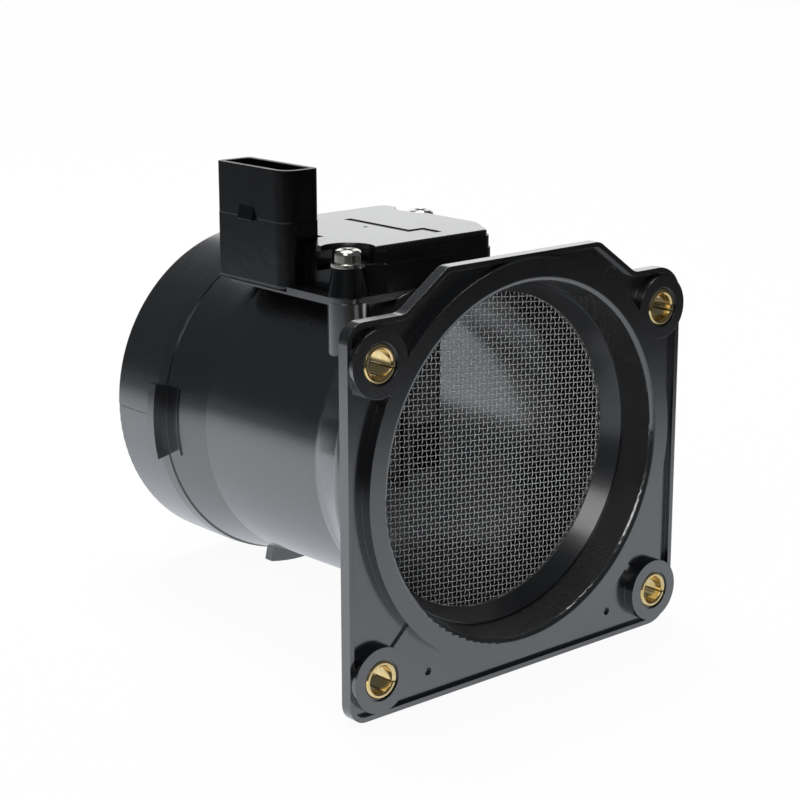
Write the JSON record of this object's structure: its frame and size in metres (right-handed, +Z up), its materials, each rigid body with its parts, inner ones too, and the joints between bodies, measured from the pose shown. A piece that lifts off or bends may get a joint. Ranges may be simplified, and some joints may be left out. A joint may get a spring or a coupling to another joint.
{
  "type": "mass airflow sensor",
  "caption": "Moulded duct with a bolted inlet flange, brass bushes and a wire screen, a hose collar at the outlet and a hot-film measuring module with a plug socket on top.",
  "frame": {"origin": "centre of the four flange bolts, on the mating face of the inlet flange", "axes": "+X to the right seen from the inlet, +Y along the air flow from the flange to the hose collar, +Z up to the measuring module"},
  "size_m": [0.106, 0.1088, 0.1175],
  "materials": {
    "moulding": "satin black glass-filled moulding",
    "lid_plastic": "smoother black moulding",
    "ring_plastic": "satin dark grey moulding",
    "brass": "turned, bright",
    "screen_wire": "woven wire, bright",
    "screen_frame": "rolled channel",
    "zinc": "bright zinc plate",
    "seal_rubber": "matt",
    "board": "lacquered board",
    "chip": "moulded package",
    "can": "drawn can",
    "carrier_ceramic": "fired, matt",
    "film": "glazed film",
    "bead": "glass bead",
    "contact": "tinned blade"
  },
  "bodies": {
    "root": {"housing": "moulding", "flange_bush_1": "brass", "flange_bush_2": "brass", "flange_bush_3": "brass", "flange_bush_4": "brass", "inlet_screen": "screen_wire", "screen_rim": "screen_frame", "screen_retaining_ring": "ring_plastic", "module_base": "moulding", "module_lid": "lid_plastic", "module_seal": "seal_rubber", "probe_cover": "moulding", "circuit_board": "board", "control_chip": "chip", "capacitors": "can", "sensor_carrier": "carrier_ceramic", "hot_film_element": "film", "compensation_element": "film", "air_temperature_bead": "bead", "terminal_1": "contact", "terminal_2": "contact", "terminal_3": "contact", "terminal_4": "contact", "terminal_5": "contact", "module_screw_1": "zinc", "module_screw_2": "zinc", "screw_washer_1": "zinc", "screw_washer_2": "zinc", "threaded_insert_1": "brass", "threaded_insert_2": "brass"}
  },
  "joints": []
}
